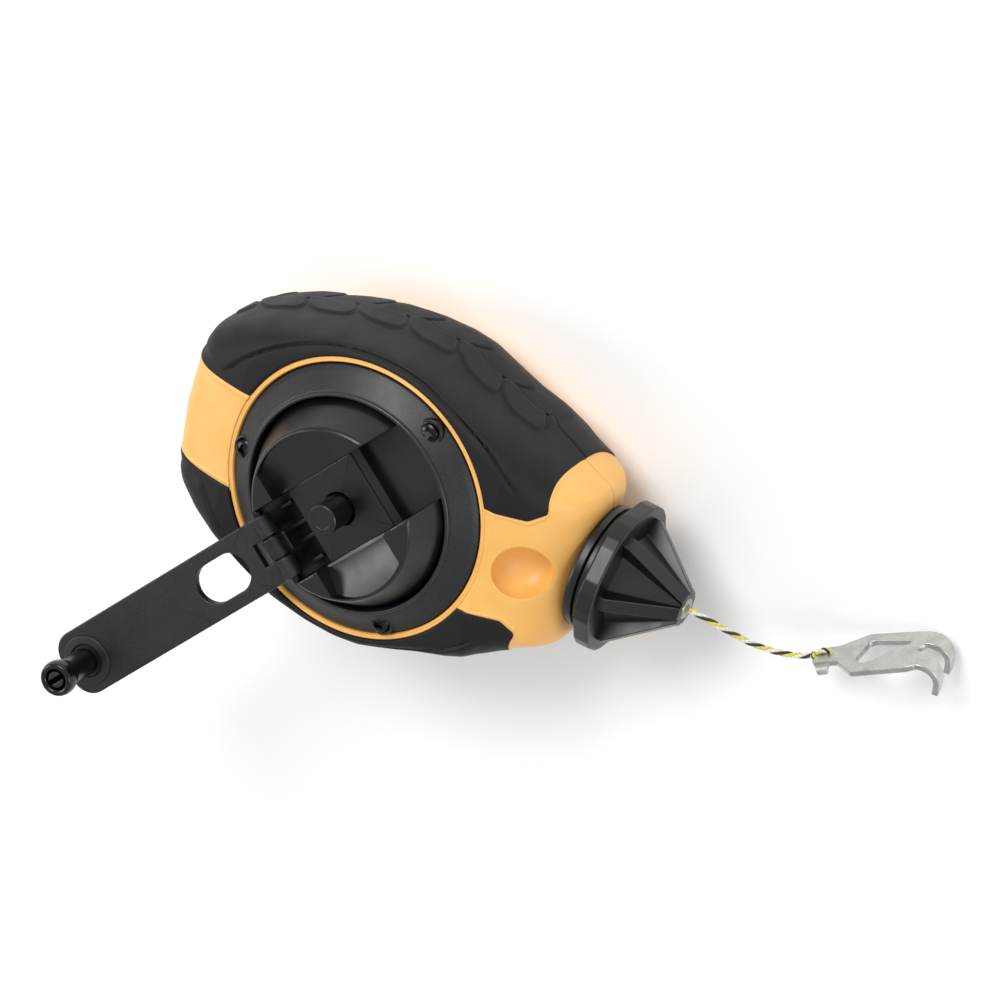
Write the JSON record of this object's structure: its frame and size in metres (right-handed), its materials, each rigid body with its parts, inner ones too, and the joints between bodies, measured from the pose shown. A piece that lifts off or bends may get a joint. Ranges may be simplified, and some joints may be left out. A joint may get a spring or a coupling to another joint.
{
  "type": "chalk line reel",
  "caption": "Hand-held chalk line reel with a rubber-gripped housing, folding crank with side button, pull-off cone nozzle, twisted line and steel end hook.",
  "frame": {"origin": "middle of the flat of the back, on the spool's axis, at the height of the surface that the reel lies on", "axes": "+Z along the spool's axis out of the crank side, +X to the nozzle, +Y to the upper grip"},
  "size_m": [0.2398, 0.1344, 0.0931],
  "materials": {
    "yellow_plastic": "moulded with a fine satin texture",
    "black_rubber": "matte overmoulded elastomer",
    "black_plastic": "moulded with a spark-eroded texture",
    "plated_steel": "zinc or nickel plated, satin",
    "white_nylon": "moulded, satin",
    "grey_felt": "pressed felt",
    "twisted_line": "twisted cord, light strands with one dark strand"
  },
  "bodies": {
    "housing": {"housing_front": "yellow_plastic", "housing_back": "yellow_plastic", "grip_top_front": "black_rubber", "grip_top_back": "black_rubber", "grip_bottom_front": "black_rubber", "grip_bottom_back": "black_rubber", "front_bezel": "black_plastic", "bezel_screw_1": "plated_steel", "bezel_screw_2": "plated_steel", "bezel_screw_3": "plated_steel", "housing_screw_1": "plated_steel", "housing_screw_2": "plated_steel", "housing_screw_3": "plated_steel", "housing_screw_4": "plated_steel", "gear_plate": "white_nylon", "planet_pin_1": "plated_steel", "planet_pin_2": "plated_steel", "planet_pin_3": "plated_steel", "spool_axle": "plated_steel", "axle_bush": "plated_steel", "neck_collar": "black_plastic", "line_run": "twisted_line"},
    "crank": {"crank_disc": "black_plastic", "ring_gear": "white_nylon", "hinge_pin": "plated_steel", "button_spring": "plated_steel"},
    "arm": {"crank_arm": "black_plastic"},
    "knob": {"knob_sleeve": "black_plastic"},
    "button": {"clutch_button": "black_plastic"},
    "spool": {"spool": "white_nylon", "sun_gear": "white_nylon", "line_winding": "twisted_line"},
    "planet_1": {"planet_gear_1": "white_nylon"},
    "planet_2": {"planet_gear_2": "white_nylon"},
    "planet_3": {"planet_gear_3": "white_nylon"},
    "line_end": {"line_lead": "twisted_line", "line_free": "twisted_line", "hook": "plated_steel"},
    "nozzle": {"nozzle_cone": "black_plastic", "nozzle_eyelet": "plated_steel", "nozzle_felt": "grey_felt"}
  },
  "joints": [
    {"name": "crank_spin", "type": "hinge", "parent": "housing", "child": "crank", "pos_m": [0, 0, 0.056], "axis": [0, 0, 1], "continuous": true},
    {"name": "crank_fold", "type": "hinge", "parent": "crank", "child": "arm", "pos_m": [-0.0155, -0.01962, 0.0653], "axis": [-0.7848, 0.6198, 0], "range_deg": [0, 158]},
    {"name": "knob_spin", "type": "hinge", "parent": "arm", "child": "knob", "pos_m": [-0.06286, -0.0796, 0.07468], "axis": [0.0755, 0.0956, 0.9925], "continuous": true},
    {"name": "button_press", "type": "slide", "parent": "crank", "child": "button", "axis": [0, 0, -1], "range_m": [0, 0.003], "stiffness_N_per_m": 300, "springref_m": -0.003, "deforming": ["button_spring"]},
    {"name": "spool_spin", "type": "hinge", "parent": "housing", "child": "spool", "pos_m": [0, 0, 0.02], "axis": [0, 0, 1], "continuous": true},
    {"name": "planet_spin_1", "type": "hinge", "parent": "housing", "child": "planet_1", "pos_m": [0.0132, 0, 0.0419], "axis": [0, 0, 1], "continuous": true},
    {"name": "planet_spin_2", "type": "hinge", "parent": "housing", "child": "planet_2", "pos_m": [-0.0066, 0.01143, 0.0419], "axis": [0, 0, 1], "continuous": true},
    {"name": "planet_spin_3", "type": "hinge", "parent": "housing", "child": "planet_3", "pos_m": [-0.0066, -0.01143, 0.0419], "axis": [0, 0, 1], "continuous": true},
    {"name": "nozzle_pull", "type": "slide", "parent": "housing", "child": "line_end", "axis": [1, 0, 0], "range_m": [0, 0.016]},
    {"name": "nozzle_twist", "type": "hinge", "parent": "line_end", "child": "nozzle", "pos_m": [0.08, 0, 0.028], "axis": [1, 0, 0], "range_deg": [0, 60]}
  ],
  "couplings": [
    {"joint": "spool_spin", "follows": "crank_spin", "ratio": -3},
    {"joint": "planet_spin_1", "follows": "crank_spin", "ratio": 3},
    {"joint": "planet_spin_2", "follows": "crank_spin", "ratio": 3},
    {"joint": "planet_spin_3", "follows": "crank_spin", "ratio": 3}
  ]
}
